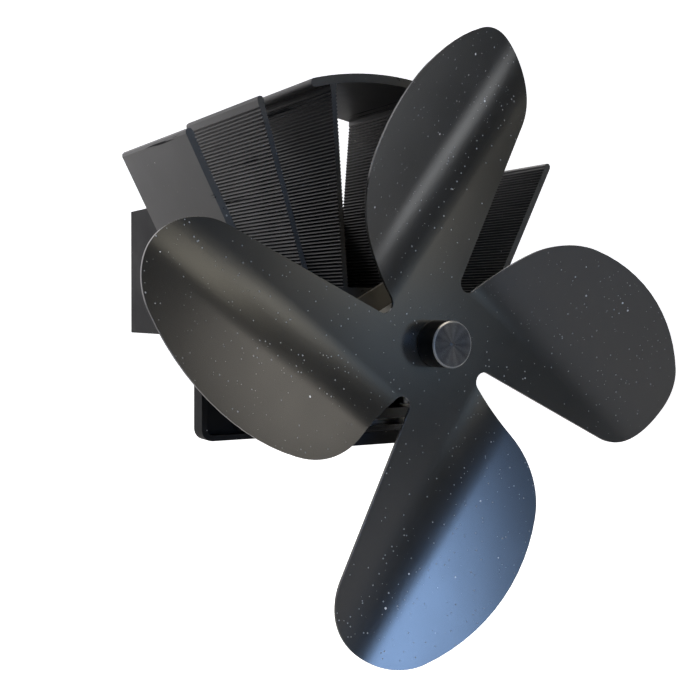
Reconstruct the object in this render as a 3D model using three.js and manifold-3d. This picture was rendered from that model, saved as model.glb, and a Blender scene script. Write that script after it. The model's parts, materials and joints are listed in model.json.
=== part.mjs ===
import * as THREE from "three";
import { mergeVertices } from "three/addons/utils/BufferGeometryUtils.js";
import Module from "manifold-3d";

// Heat-powered stove fan that clings to a round flue pipe.
// Millimetres and degrees, +Z up. The pieces are laid out about the shaft: it runs along Y through
// x = 0, z = 0, the fan faces -Y, and the front of the wheel's flat centre is y = 0.

// Fan wheel, one pressed sheet with four blades
const sheetThickness = 1;
const bladeCount = 4;
const wheelTurn = 9.9;
const leadingAngle = -35.5;
const leadingLength = 70.3;
const cornerRadius = 17.4;
const cornerEndAngle = 10.7;
const backRadius = 60;
const shoulderRadius = 26.5;
const trailingAngle = 23.8;
const notchRadius = 2.8;
const notchReach = 20.4;
const foldLineAngle = -46.5;
const foldRadius = 41;
const foldAngle = 24.3;
const foldSteps = 8;
const outlineSteps = 9;

// Hub
const knobRadius = 6.6;
const knobLength = 7.8;
const knobChamfer = 0.4;
const spigotRadius = 3;
const spigotReach = 4;
const collarRadius = 6;
const collarLength = 9;
const grubRadius = 1;
const grubFromEnd = 2.6;

// Motor
const shaftRadius = 1;
const shaftFit = 0.05;
const shaftInKnob = 3.8;
const canRadius = 12.2;
const canLength = 17;
const canWall = 0.8;
const ringRadius = 7.8;
const ringHeight = 1.2;
const bossRadius = 3.9;
const bossHeight = 3.5;
const bushRadius = 2.7;
const magnetThickness = 1.8;
const magnetLength = 11.5;
const magnetAngle = 120;
const airGap = 0.5;
const shoeThickness = 1.6;
const poleAngle = 96;
const neckWidth = 2;
const armatureHubRadius = 2.6;
const poleCount = 3;
const windingThickness = 1.3;
const commutatorRadius = 2.6;
const commutatorLength = 2.4;
const capThickness = 2.6;
const capBossRadius = 4;
const capBossHeight = 2;
const brushWidth = 2;
const brushThickness = 1.6;
const terminalWidth = 2.2;
const terminalThickness = 0.5;
const terminalLength = 4;
const terminalOffset = 6;

// Heat sink, one extrusion
const fanGap = 25;
const sinkDepth = 52;
const axisHeight = 23.4;
const baseThickness = 3.1;
const baseHalfWidth = 24.6;
const boreClearance = 0.3;
const boreWall = 2.5;
const coreTopWall = 3.5;
const coreSideWall = 7.5;
const channelHalfWidth = 13;
const finThickness = 2;
const outerFinThickness = 2.3;
const finEmbed = 3;
const smoothTop = 2.2;
const groovePitch = 1.05;
const grooveDepth = 0.4;
const tipAngles = [0, 45, 90, 135, 180];
const innerTipX = 18.8;
const innerRootX = 13.9;
const middleTipX = 42.4;
const middleTipZ = 69;
const middleRootX = 18.6;
const middleRootZ = -9;
const outerTipX = 63.8;
const outerTipZ = 58;
const outerRootX = 23.2;
const archRadius = 89.8;
const archTopZ = 79.5;
const archHalfSpan = 26;
const archThickness = 2.6;
const archSteps = 20;

// Motor bracket, a flat plate across the front of the core
const bracketThickness = 1.5;
const bracketTurn = 29;
const bracketHalfLength = 24;
const bracketHalfWidth = 16.2;
const bracketCorner = 5;
const windowHalfLength = 11;
const windowHalfWidth = 9.6;
const windowCorner = 4;
const bracketScrewOffset = 19.6;
const bracketScrewDepth = 9;

// Thermoelectric module and its pads
const moduleWidth = 40;
const padThickness = 0.3;
const ceramicThickness = 0.7;
const coupleThickness = 1.3;
const coupleInset = 0.8;
const stackGap = 0.1;
const wireRadius = 0.6;
const wireSpread = 5;
const wireBend = 3;
const wireHeight = -2;

// Hot side
const hotPlateThickness = 3.8;
const hotPlateHalfWidth = 24;
const limbGap = 5;
const limbThickness = 4;
const limbHalfWidth = 36.7;
const limbDrop = 3.3;
const limbTopZ = 43;
const limbCorner = 4;
const rimWidth = 2;
const rimDepth = 2.8;

// Saddle that sits against the flue pipe
const flueRadius = 75;
const wingAngle = 25;
const saddleHalfWidth = 43.4;
const saddleBottomZ = 0.7;
const saddleHeight = 43.9;
const saddleDepth = 23.8;
const saddleWall = 4;
const saddleSideWall = 3;
const saddleWebHalf = 5;
const wingThickness = 8;
const tipFlat = 2.7;
const holderRadius = 7;
const holderThickness = 4;
const holderSpacing = 22;

// Lower frame, a flat bar between the heat sink and the front of the hot plate
const frameHalfWidth = 22.5;
const frameThickness = 1.7;
const frameDepth = 5.5;
const frameCorner = 1.5;

// Screws
const screwRadius = 1.5;
const screwFit = 0.2;
const screwHeadRadius = 2.6;
const screwHeadHeight = 2.2;
const socketRadius = 1.3;
const socketDepth = 1.2;
const clampOffset = 10;
const bushWall = 0.4;
const bushFlange = 0.8;
const bushFlangeRadius = 2.8;
const saddleScrewX = 22;
const saddleScrewSpacing = 25;

// Clearance between pieces that seat on each other, and overrun of every cut
const seatGap = 0.2;
const turnedGap = 0.3;
const overrun = 1;

// Places worked out from the sizes
const sinkFrontY = sheetThickness + fanGap;
const sinkRearY = sinkFrontY + sinkDepth;
const boreRadius = canRadius + boreClearance;
const coreTopZ = boreRadius + coreTopWall;
const coreHalfWidth = boreRadius + coreSideWall;
const sinkBottomZ = -axisHeight;
const baseTopZ = sinkBottomZ + baseThickness;
const channelTopZ = -boreRadius - boreWall;
const moduleHeight = 2 * padThickness + 2 * ceramicThickness + coupleThickness + 6 * stackGap;
const hotTopZ = sinkBottomZ - moduleHeight;
const hotBottomZ = hotTopZ - hotPlateThickness;
const limbFrontY = sinkRearY + limbGap;
const limbRearY = limbFrontY + limbThickness;
const saddleFrontY = limbRearY + seatGap;
const valleyY = saddleFrontY + saddleDepth;
const saddleMidZ = saddleBottomZ + saddleHeight / 2;
const collarFrontY = sheetThickness + seatGap;
const collarRearY = collarFrontY + collarLength;
const spigotEndY = sheetThickness + spigotReach;
const spigotHole = spigotRadius + seatGap;
const shaftHole = shaftRadius + shaftFit;
const bracketRearY = sinkFrontY - seatGap;
const bracketFrontY = bracketRearY - bracketThickness;
const canRearY = sinkFrontY + canLength;
const canInnerRadius = canRadius - canWall;
const canFloorY = sinkFrontY + canWall;
const capFrontY = canRearY - capThickness;
const capRearY = canRearY + capBossHeight;
const magnetOuterRadius = canInnerRadius - seatGap;
const magnetInnerRadius = magnetOuterRadius - magnetThickness;
const armatureRadius = magnetInnerRadius - airGap;
const magnetFrontY = canFloorY + canWall;
const brushRearY = capFrontY - seatGap;
const brushFrontY = brushRearY - brushThickness;
const windingReach = windingThickness + turnedGap;
const armatureFrontY = canFloorY + turnedGap + windingReach;
const armatureRearY = brushFrontY - turnedGap - windingReach;
const commutatorRearY = capFrontY - turnedGap;
const frameBottomZ = hotTopZ + seatGap;
const frameTopZ = frameBottomZ + frameThickness;
const clampYs = { front: sinkFrontY + frameDepth / 2, rear: sinkRearY - frameDepth / 2 };
const moduleFrontY = sinkFrontY + (sinkDepth - moduleWidth) / 2;
const moduleRearY = moduleFrontY + moduleWidth;
const wingTurn = THREE.MathUtils.degToRad(wingAngle);
const seatAlongWing = flueRadius * Math.tan(wingTurn);

// Segments of a full round, and sides of a hexagon socket
const hexagon = 6;
const smallRound = 12;
const mediumRound = 24;
const largeRound = 36;

// Finishes
const finish = (color, roughness, metalness) => new THREE.MeshStandardMaterial({ color, roughness, metalness });
const blackPaint = finish(0x1b1c1e, 0.42, 0.3);
const blackAnodised = finish(0x17181a, 0.38, 0.7);
const sinkBlack = finish(0x242425, 0.5, 0.6);
const bracketBrown = finish(0x37342d, 0.6, 0.4);
const castBlack = finish(0x1c1e22, 0.55, 0.5);
const brightSteel = finish(0xb9bbbd, 0.3, 0.9);
const darkSteel = finish(0x2a2b2d, 0.4, 0.8);
const zincSteel = finish(0x9c9ea0, 0.4, 0.85);
const bronze = finish(0x9a6b3a, 0.4, 0.8);
const copper = finish(0xb0602f, 0.35, 0.8);
const magnetGrey = finish(0x3a3a3c, 0.6, 0.3);
const nickel = finish(0xc4c4c0, 0.22, 0.95);
const whiteCeramic = finish(0xe8e6e0, 0.6, 0);
const padGrey = finish(0x4a4b4d, 0.85, 0);
const bismuthGrey = finish(0x8a8c90, 0.5, 0.5);
const nylon = finish(0xdcd8cc, 0.55, 0);
const redWire = finish(0xa51f1a, 0.5, 0);
const blackWire = finish(0x121212, 0.5, 0);

const wasm = await Module();
wasm.setup();
const mergeDistance = 1e-5;

function toSolid(geometry) {
  const bare = geometry.clone();
  bare.deleteAttribute("normal");
  bare.deleteAttribute("uv");
  const merged = mergeVertices(bare, mergeDistance);
  return new wasm.Manifold(
    new wasm.Mesh({
      numProp: 3,
      vertProperties: Float32Array.from(merged.attributes.position.array),
      triVerts: Uint32Array.from(merged.index.array),
    }),
  );
}

function toGeometry(solid) {
  const mesh = solid.getMesh();
  const geometry = new THREE.BufferGeometry();
  geometry.setAttribute("position", new THREE.BufferAttribute(mesh.vertProperties, 3));
  geometry.setIndex(new THREE.BufferAttribute(mesh.triVerts, 1));
  geometry.computeVertexNormals();
  return geometry;
}

function join(first, ...others) {
  return toGeometry(others.reduce((sum, piece) => sum.add(toSolid(piece)), toSolid(first)));
}

function cut(body, ...tools) {
  return toGeometry(tools.reduce((rest, tool) => rest.subtract(toSolid(tool)), toSolid(body)));
}

// Direction at an angle in degrees, counterclockwise from the first axis of its plane
function unit(angle) {
  const turn = THREE.MathUtils.degToRad(angle);
  return new THREE.Vector2(Math.cos(turn), Math.sin(turn));
}

function along(start, direction, distance) {
  return start.clone().addScaledVector(direction, distance);
}

function block(x, y, z) {
  const box = new THREE.BoxGeometry(x[1] - x[0], y[1] - y[0], z[1] - z[0]);
  return box.translate((x[0] + x[1]) / 2, (y[0] + y[1]) / 2, (z[0] + z[1]) / 2);
}

function rodAlongY(radius, y, x, z, round = smallRound) {
  const rod = new THREE.CylinderGeometry(radius, radius, y[1] - y[0], round);
  return rod.translate(x, (y[0] + y[1]) / 2, z);
}

function rodAlongZ(radius, z, x, y, round = smallRound) {
  const rod = new THREE.CylinderGeometry(radius, radius, z[1] - z[0], round);
  return rod.rotateX(Math.PI / 2).translate(x, y, (z[0] + z[1]) / 2);
}

// A shape drawn in x and z as seen from the front, carried back along Y
function extrudeAlongY(shape, y, curveSegments = 8) {
  const depth = y[1] - y[0];
  const extruded = new THREE.ExtrudeGeometry(shape, { depth, bevelEnabled: false, curveSegments });
  return extruded.rotateX(Math.PI / 2).translate(0, y[1], 0);
}

// A shape drawn in x and y as seen from above, carried up along Z
function extrudeAlongZ(shape, z, curveSegments = 8) {
  const depth = z[1] - z[0];
  const extruded = new THREE.ExtrudeGeometry(shape, { depth, bevelEnabled: false, curveSegments });
  return extruded.translate(0, 0, z[0]);
}

// A profile of radius and y, up its inside and down its outside, turned about the shaft
function turned(profile, round = mediumRound) {
  const closed = [...profile, profile[0]].reverse();
  return new THREE.LatheGeometry(closed.map(([radius, y]) => new THREE.Vector2(radius, y)), round);
}

function roundedRectangle(halfWidth, halfHeight, radius) {
  const shape = new THREE.Shape();
  const x = halfWidth - radius;
  const y = halfHeight - radius;
  shape.absarc(x, -y, radius, -Math.PI / 2, 0);
  shape.absarc(x, y, radius, 0, Math.PI / 2);
  shape.absarc(-x, y, radius, Math.PI / 2, Math.PI);
  shape.absarc(-x, -y, radius, Math.PI, 1.5 * Math.PI);
  return shape;
}

// Fan wheel

// One blade with its quarter of the hub, as outline points seen from the front, x outwards.
// The leading edge is straight. Three arcs that run into each other bring it round to the straight
// trailing edge, and half of a round-bottomed notch lies at each side.
function bladeOutline() {
  const lead = unit(leadingAngle);
  const leadNormal = unit(leadingAngle + 90);
  const trail = unit(trailingAngle);
  const trailNormal = unit(trailingAngle + 90);
  const firstNotch = along(lead.clone().multiplyScalar(notchReach), leadNormal, -notchRadius);
  const lastNotch = along(leadNormal.clone().multiplyScalar(notchReach), lead, notchRadius);
  const corner = along(lead.clone().multiplyScalar(leadingLength), leadNormal, cornerRadius);
  const back = along(corner, unit(cornerEndAngle), cornerRadius - backRadius);
  const trailLevel = lastNotch.dot(trailNormal) - notchRadius;
  const rise = trailLevel - shoulderRadius - back.dot(trailNormal);
  const shoulderReach = Math.sqrt((backRadius - shoulderRadius) ** 2 - rise ** 2);
  const shoulder = along(along(back, trailNormal, rise), trail, shoulderReach);
  const backEnd = shoulder.clone().sub(back).angle();
  const radians = THREE.MathUtils.degToRad;
  const path = new THREE.Path();
  const arc = (centre, radius, from, to, clockwise) => {
    path.absarc(centre.x, centre.y, radius, from, to, clockwise);
  };
  arc(new THREE.Vector2(), spigotHole, lastNotch.angle(), firstNotch.angle(), true);
  arc(firstNotch, notchRadius, firstNotch.angle() + Math.PI, radians(leadingAngle + 90), true);
  arc(corner, cornerRadius, radians(leadingAngle - 90), radians(cornerEndAngle), false);
  arc(back, backRadius, radians(cornerEndAngle), backEnd, false);
  arc(shoulder, shoulderRadius, backEnd, radians(trailingAngle + 90), false);
  arc(lastNotch, notchRadius, radians(trailingAngle - 90), lastNotch.angle() + Math.PI, true);
  const notchBottom = along(lastNotch, lastNotch.clone().normalize(), -notchRadius);
  return { points: path.getPoints(outlineSteps), notchBottom };
}

// The part of an outline on one side of a straight line
function clip(points, normal, level, side) {
  const kept = [];
  points.forEach((point, i) => {
    const next = points[(i + 1) % points.length];
    const here = side * (point.dot(normal) - level);
    const there = side * (next.dot(normal) - level);
    if (here >= 0) kept.push(point);
    if (here * there < 0) kept.push(point.clone().lerp(next, here / (here - there)));
  });
  return kept;
}

// How far the sheet stands forward at a distance past the fold line: a rolled bend, then flat
function foldHeight(distance) {
  const turn = THREE.MathUtils.degToRad(foldAngle);
  const bend = foldRadius * Math.sin(turn);
  if (distance <= 0) return 0;
  if (distance < bend) return foldRadius - Math.sqrt(foldRadius ** 2 - distance ** 2);
  return foldRadius * (1 - Math.cos(turn)) + (distance - bend) * Math.tan(turn);
}

// One blade cut along lines parallel to its fold, each panel with its corners lifted onto the bend
function bladePanels() {
  const { points, notchBottom } = bladeOutline();
  const normal = unit(foldLineAngle + 90);
  const foldStart = notchBottom.dot(normal);
  const bendTurn = (step) => THREE.MathUtils.degToRad((foldAngle * step) / foldSteps);
  const steps = [...Array(foldSteps + 1).keys()];
  const levels = steps.map((step) => foldStart + foldRadius * Math.sin(bendTurn(step)));
  const flat = clip(points, normal, levels[0], -1);
  const strips = levels.map((level, i) => {
    const above = clip(points, normal, level, 1);
    return i < foldSteps ? clip(above, normal, levels[i + 1], -1) : above;
  });
  const lift = (point) => foldHeight(point.dot(normal) - foldStart);
  return [flat, ...strips].map((panel) => panel.map((point) => ({ point, height: lift(point) })));
}

function fanWheel() {
  const corners = [];
  const lookup = new Map();
  const faces = [];
  const cornerOf = (x, y, z) => {
    const key = [x, y, z].map((value) => value.toFixed(3)).join();
    if (!lookup.has(key)) lookup.set(key, corners.push([x, y, z]) - 1);
    return lookup.get(key);
  };
  const panels = bladePanels();
  for (let blade = 0; blade < bladeCount; blade += 1) {
    const turn = THREE.MathUtils.degToRad(wheelTurn + (360 / bladeCount) * blade);
    for (const panel of panels) {
      const ids = panel.map(({ point, height }) => {
        const placed = point.clone().rotateAround(new THREE.Vector2(), turn);
        return cornerOf(placed.x, -height, placed.y);
      });
      const outline = panel.map(({ point }) => point);
      for (const face of THREE.ShapeUtils.triangulateShape(outline, [])) {
        faces.push(face.map((i) => ids[i]));
      }
    }
  }
  return thickened(corners, faces);
}

// Gives a one-sided skin of triangles a back at sheetThickness behind it, and closes the rim
function thickened(corners, faces) {
  const count = corners.length;
  const solid = faces.filter(([a, b, c]) => a !== b && b !== c && c !== a);
  const edges = new Set(solid.flatMap(([a, b, c]) => [`${a},${b}`, `${b},${c}`, `${c},${a}`]));
  const triangles = solid.flatMap(([a, b, c]) => [a, b, c, a + count, c + count, b + count]);
  for (const edge of edges) {
    const [a, b] = edge.split(",").map(Number);
    if (!edges.has(`${b},${a}`)) triangles.push(b, a, a + count, b, a + count, b + count);
  }
  const behind = corners.map(([x, y, z]) => [x, y + sheetThickness, z]);
  const geometry = new THREE.BufferGeometry();
  const places = new Float32Array([...corners, ...behind].flat());
  geometry.setAttribute("position", new THREE.BufferAttribute(places, 3));
  geometry.setIndex(triangles);
  geometry.computeVertexNormals();
  return geometry;
}

// Hub

function hubKnob() {
  const frontY = -seatGap - knobLength;
  return turned([
    [0, frontY],
    [0, -shaftInKnob - seatGap],
    [shaftHole, -shaftInKnob - seatGap],
    [shaftHole, spigotEndY],
    [spigotRadius, spigotEndY],
    [spigotRadius, -seatGap],
    [knobRadius, -seatGap],
    [knobRadius, frontY + knobChamfer],
    [knobRadius - knobChamfer, frontY],
  ], largeRound);
}

function hubCollar() {
  const ring = turned([
    [spigotHole, collarFrontY],
    [spigotHole, spigotEndY + seatGap],
    [shaftHole, spigotEndY + seatGap],
    [shaftHole, collarRearY],
    [collarRadius, collarRearY],
    [collarRadius, collarFrontY],
  ]);
  const hole = new THREE.CylinderGeometry(
    grubRadius + seatGap,
    grubRadius + seatGap,
    collarRadius + overrun,
    smallRound,
  );
  hole.rotateZ(Math.PI / 2).translate((collarRadius + overrun) / 2, collarRearY - grubFromEnd, 0);
  return cut(ring, hole);
}

function hubGrubScrew() {
  const start = shaftRadius + seatGap;
  const length = collarRadius - start;
  const screw = new THREE.CylinderGeometry(grubRadius, grubRadius, length, smallRound);
  const socket = new THREE.CylinderGeometry(grubRadius / 2, grubRadius / 2, length, hexagon);
  socket.translate(0, length - socketDepth, 0);
  const drilled = cut(screw, socket);
  return drilled.rotateZ(-Math.PI / 2).translate(start + length / 2, collarRearY - grubFromEnd, 0);
}

// Motor

function motorShaft() {
  const frontY = -shaftInKnob;
  return turned([
    [0, frontY],
    [0, capRearY - seatGap],
    [shaftRadius, capRearY - seatGap],
    [shaftRadius, frontY],
  ], smallRound);
}

function motorCan() {
  const seat = bushRadius + seatGap;
  return turned([
    [seat, sinkFrontY - bossHeight],
    [seat, canFloorY],
    [canInnerRadius, canFloorY],
    [canInnerRadius, canRearY],
    [canRadius, canRearY],
    [canRadius, sinkFrontY],
    [ringRadius, sinkFrontY],
    [ringRadius, sinkFrontY - ringHeight],
    [bossRadius, sinkFrontY - ringHeight],
    [bossRadius, sinkFrontY - bossHeight],
  ], largeRound);
}

function bush(y) {
  return turned([
    [shaftHole, y[0]],
    [shaftHole, y[1]],
    [bushRadius, y[1]],
    [bushRadius, y[0]],
  ], smallRound);
}

function fieldMagnet(middleAngle) {
  const from = THREE.MathUtils.degToRad(middleAngle - magnetAngle / 2);
  const to = THREE.MathUtils.degToRad(middleAngle + magnetAngle / 2);
  const shape = new THREE.Shape();
  shape.absarc(0, 0, magnetOuterRadius, from, to, false);
  shape.absarc(0, 0, magnetInnerRadius, to, from, true);
  return extrudeAlongY(shape, [magnetFrontY, magnetFrontY + magnetLength]);
}

function armature() {
  const length = [armatureFrontY, armatureRearY];
  const hub = new THREE.Shape();
  hub.absarc(0, 0, armatureHubRadius, 0, 2 * Math.PI, false);
  const pieces = [extrudeAlongY(hub, length)];
  const half = THREE.MathUtils.degToRad(poleAngle / 2);
  const neckEnd = armatureRadius - shoeThickness / 2;
  for (let pole = 0; pole < poleCount; pole += 1) {
    const shoe = new THREE.Shape();
    shoe.absarc(0, 0, armatureRadius, -half, half, false);
    shoe.absarc(0, 0, armatureRadius - shoeThickness, half, -half, true);
    const neck = block([0, neckEnd], length, [-neckWidth / 2, neckWidth / 2]);
    const turn = ((2 * Math.PI) / poleCount) * pole;
    pieces.push(extrudeAlongY(shoe, length).rotateY(turn), neck.rotateY(turn));
  }
  const bore = rodAlongY(shaftHole, [length[0] - overrun, length[1] + overrun], 0, 0);
  return cut(join(...pieces), bore);
}

// A coil of wire round the neck of one pole
function winding(pole) {
  const inner = armatureHubRadius + turnedGap;
  const outer = armatureRadius - shoeThickness - turnedGap;
  const neckRoom = neckWidth / 2 + turnedGap;
  const length = [armatureFrontY - turnedGap, armatureRearY + turnedGap];
  const outside = [length[0] - windingThickness, length[1] + windingThickness];
  const width = neckRoom + windingThickness / 2;
  const coil = cut(
    block([inner, outer], outside, [-width, width]),
    block([inner - overrun, outer + overrun], length, [-neckRoom, neckRoom]),
  );
  return coil.rotateY(((2 * Math.PI) / poleCount) * pole);
}

function commutator() {
  const frontY = commutatorRearY - commutatorLength;
  const ring = turned([
    [shaftHole, frontY],
    [shaftHole, commutatorRearY],
    [commutatorRadius, commutatorRearY],
    [commutatorRadius, frontY],
  ]);
  const slotDepth = commutatorRadius / 4;
  const slots = [...Array(poleCount).keys()].map((pole) => {
    const slot = block(
      [commutatorRadius - slotDepth, commutatorRadius + overrun],
      [frontY - overrun, commutatorRearY + overrun],
      [-seatGap, seatGap],
    );
    return slot.rotateY((2 * Math.PI * (pole + 0.5)) / poleCount);
  });
  return cut(ring, ...slots);
}

function endCap() {
  const seat = bushRadius + seatGap;
  const plugRadius = canInnerRadius - seatGap;
  return turned([
    [seat, capFrontY],
    [seat, capRearY],
    [capBossRadius, capRearY],
    [capBossRadius, canRearY],
    [plugRadius, canRearY],
    [plugRadius, capFrontY],
  ]);
}

function brush(side) {
  const inner = commutatorRadius + turnedGap;
  const outer = magnetInnerRadius - airGap;
  const z = side > 0 ? [inner, outer] : [-outer, -inner];
  return block([-brushWidth / 2, brushWidth / 2], [brushFrontY, brushRearY], z);
}

function terminal(side) {
  const x = side * terminalOffset;
  const frontY = canRearY + seatGap;
  return block(
    [x - terminalThickness / 2, x + terminalThickness / 2],
    [frontY, frontY + terminalLength],
    [wireHeight - terminalWidth / 2, wireHeight + terminalWidth / 2],
  );
}

// Screws, each with its head towards its own +Y and a hexagon socket in it

function capScrew(length) {
  const head = rodAlongY(screwHeadRadius, [0, screwHeadHeight], 0, 0, smallRound);
  const shank = rodAlongY(screwRadius, [-length, screwHeadHeight / 2], 0, 0, smallRound);
  const socketY = [screwHeadHeight - socketDepth, screwHeadHeight + overrun];
  const socket = rodAlongY(socketRadius, socketY, 0, 0, hexagon);
  return cut(join(head, shank), socket);
}

// Head to the front, seated on a face at headY
function screwIntoFront(x, z, headY, length) {
  return capScrew(length).rotateX(Math.PI).translate(x, headY, z);
}

// Heat sink

// One fin drawn from root to tip. Each grooved side is a row of small notches across the fin.
function finShape(root, tip, thickness, groovedRight, groovedLeft) {
  const length = root.distanceTo(tip);
  const up = tip.clone().sub(root).normalize();
  const right = new THREE.Vector2(up.y, -up.x);
  const half = thickness / 2;
  const count = Math.floor((length - finEmbed - smoothTop) / groovePitch);
  const edge = (side, grooved) => {
    const points = [[side * half, 0]];
    for (let groove = 0; grooved && groove < count; groove += 1) {
      const start = finEmbed + groove * groovePitch;
      points.push([side * half, start], [side * (half - grooveDepth), start + groovePitch / 2]);
    }
    const end = grooved ? finEmbed + count * groovePitch : length - half;
    points.push([side * half, end]);
    return points;
  };
  const top = tipAngles.map((angle) => {
    const spot = unit(angle).multiplyScalar(half);
    return [spot.x, length - half + spot.y];
  });
  const local = [...edge(1, groovedRight), ...top, ...edge(-1, groovedLeft).reverse()];
  const placed = local.map(([x, y]) => along(along(root, right, x), up, y));
  return new THREE.Shape(placed);
}

function archShape() {
  const centreZ = archTopZ - archRadius;
  const middleRadius = archRadius - archThickness / 2;
  const half = Math.asin((archHalfSpan - archThickness / 2) / middleRadius);
  const from = Math.PI / 2 - half;
  const to = Math.PI / 2 + half;
  const end = (angle) => [Math.cos(angle) * middleRadius, centreZ + Math.sin(angle) * middleRadius];
  const shape = new THREE.Shape();
  shape.absarc(0, centreZ, archRadius, from, to, false);
  shape.absarc(...end(to), archThickness / 2, to, to + Math.PI, false);
  shape.absarc(0, centreZ, archRadius - archThickness, to, from, true);
  shape.absarc(...end(from), archThickness / 2, from + Math.PI, from + 2 * Math.PI, false);
  return shape;
}

// Height of the arch's middle line above a place x
function archHeight(x) {
  return archTopZ - archRadius + Math.sqrt((archRadius - archThickness / 2) ** 2 - x ** 2);
}

function sinkCore() {
  const depth = [sinkFrontY, sinkRearY];
  const past = [sinkFrontY - overrun, sinkRearY + overrun];
  const core = block([-coreHalfWidth, coreHalfWidth], depth, [sinkBottomZ, coreTopZ]);
  const base = block([-baseHalfWidth, baseHalfWidth], depth, [sinkBottomZ, baseTopZ]);
  const bore = rodAlongY(boreRadius, past, 0, 0, largeRound);
  const channel = block([-channelHalfWidth, channelHalfWidth], past, [baseTopZ, channelTopZ]);
  return cut(join(core, base), bore, channel);
}

function heatSink() {
  const depth = [sinkFrontY, sinkRearY];
  const inner = [innerRootX, coreTopZ - finEmbed, innerTipX, archHeight(innerTipX)];
  const middle = [middleRootX, middleRootZ, middleTipX, middleTipZ];
  const outer = [outerRootX, baseTopZ - baseThickness / 2, outerTipX, outerTipZ];
  const fins = [];
  for (const side of [-1, 1]) {
    const draw = ([rootX, rootZ, tipX, tipZ], thickness, right, left) => {
      const root = new THREE.Vector2(side * rootX, rootZ);
      const tip = new THREE.Vector2(side * tipX, tipZ);
      fins.push(extrudeAlongY(finShape(root, tip, thickness, right, left), depth));
    };
    draw(inner, finThickness, true, true);
    draw(middle, finThickness, true, true);
    draw(outer, outerFinThickness, side < 0, side > 0);
  }
  const arch = extrudeAlongY(archShape(), depth, archSteps);
  const holes = [];
  for (const side of [-1, 1]) {
    for (const y of Object.values(clampYs)) {
      const z = [sinkBottomZ - overrun, baseTopZ + overrun];
      holes.push(rodAlongZ(screwRadius + screwFit + bushWall + seatGap, z, side * clampOffset, y));
    }
    const spot = unit(bracketTurn).multiplyScalar(side * bracketScrewOffset);
    const y = [sinkFrontY - overrun, sinkFrontY + bracketScrewDepth + seatGap];
    holes.push(rodAlongY(screwRadius + screwFit, y, spot.x, spot.y));
  }
  return cut(join(sinkCore(), arch, ...fins), ...holes);
}

// Motor bracket

function motorBracket() {
  const plate = roundedRectangle(bracketHalfLength, bracketHalfWidth, bracketCorner);
  plate.holes.push(roundedRectangle(windowHalfLength, windowHalfWidth, windowCorner));
  for (const side of [-1, 1]) {
    const hole = new THREE.Path();
    hole.absarc(side * bracketScrewOffset, 0, screwRadius + screwFit, 0, 2 * Math.PI, false);
    plate.holes.push(hole);
  }
  const flat = extrudeAlongY(plate, [bracketFrontY, bracketRearY]);
  return flat.rotateY(-THREE.MathUtils.degToRad(bracketTurn));
}

function bracketScrew(side) {
  const spot = unit(bracketTurn).multiplyScalar(side * bracketScrewOffset);
  const length = bracketThickness + 2 * seatGap + bracketScrewDepth;
  return screwIntoFront(spot.x, spot.y, bracketFrontY - seatGap, length);
}

// Thermoelectric module, stacked down from the underside of the heat sink

function moduleLayer(topZ, thickness, inset) {
  const half = moduleWidth / 2 - inset;
  return block([-half, half], [moduleFrontY + inset, moduleRearY - inset], [topZ - thickness, topZ]);
}

function moduleLayers() {
  const thicknesses = [
    ["cold_pad", padThickness, 0, padGrey],
    ["cold_ceramic", ceramicThickness, 0, whiteCeramic],
    ["thermo_couples", coupleThickness, coupleInset, bismuthGrey],
    ["hot_ceramic", ceramicThickness, 0, whiteCeramic],
    ["hot_pad", padThickness, 0, padGrey],
  ];
  let topZ = sinkBottomZ - stackGap;
  return thicknesses.map(([name, thickness, inset, material]) => {
    const layer = moduleLayer(topZ, thickness, inset);
    topZ -= thickness + stackGap;
    return [name, layer, material];
  });
}

// A lead from the module's rear edge, up behind the heat sink and in through the bore to a terminal
function lead(side) {
  const startZ = sinkBottomZ - moduleHeight / 2;
  const riseY = sinkRearY + limbGap / 2;
  const terminalY = canRearY + seatGap + terminalLength + turnedGap;
  const x = side * wireSpread;
  const places = [
    [x, moduleRearY - coupleInset + turnedGap, startZ],
    [x, riseY - wireBend, startZ],
    [x, riseY, startZ + wireBend],
    [x, riseY, wireHeight - wireBend],
    [x, riseY - wireBend, wireHeight],
    [x, (riseY + terminalY) / 2, wireHeight],
    [side * terminalOffset, terminalY, wireHeight],
  ];
  const route = new THREE.CatmullRomCurve3(places.map((place) => new THREE.Vector3(...place)));
  route.curveType = "centripetal";
  const section = new THREE.Shape();
  section.absarc(0, 0, wireRadius, 0, 2 * Math.PI, false);
  return new THREE.ExtrudeGeometry(section, { steps: 26, curveSegments: 4, extrudePath: route });
}

// Clamp screws through the base of the heat sink into the hot plate, on insulating bushes

function clampScrew(side, y) {
  const headZ = baseTopZ + bushFlange + 2 * stackGap;
  const length = headZ - hotBottomZ - seatGap;
  return capScrew(length).rotateX(Math.PI / 2).translate(side * clampOffset, y, headZ);
}

function clampBush(side, y) {
  const inner = screwRadius + screwFit;
  const flangeZ = baseTopZ + stackGap;
  const profile = turned([
    [inner, sinkBottomZ],
    [inner, flangeZ + bushFlange],
    [bushFlangeRadius, flangeZ + bushFlange],
    [bushFlangeRadius, flangeZ],
    [inner + bushWall, flangeZ],
    [inner + bushWall, sinkBottomZ],
  ], smallRound);
  return profile.rotateX(Math.PI / 2).translate(side * clampOffset, y, 0);
}

// Lower frame

function lowerFrame() {
  const outline = roundedRectangle(frameHalfWidth, frameDepth / 2, frameCorner);
  const bar = extrudeAlongZ(outline, [frameBottomZ, frameTopZ]).translate(0, clampYs.front, 0);
  const z = [frameBottomZ - overrun, frameTopZ + overrun];
  const hole = (side) => rodAlongZ(screwRadius + screwFit, z, side * clampOffset, clampYs.front);
  return cut(bar, hole(-1), hole(1));
}

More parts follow.
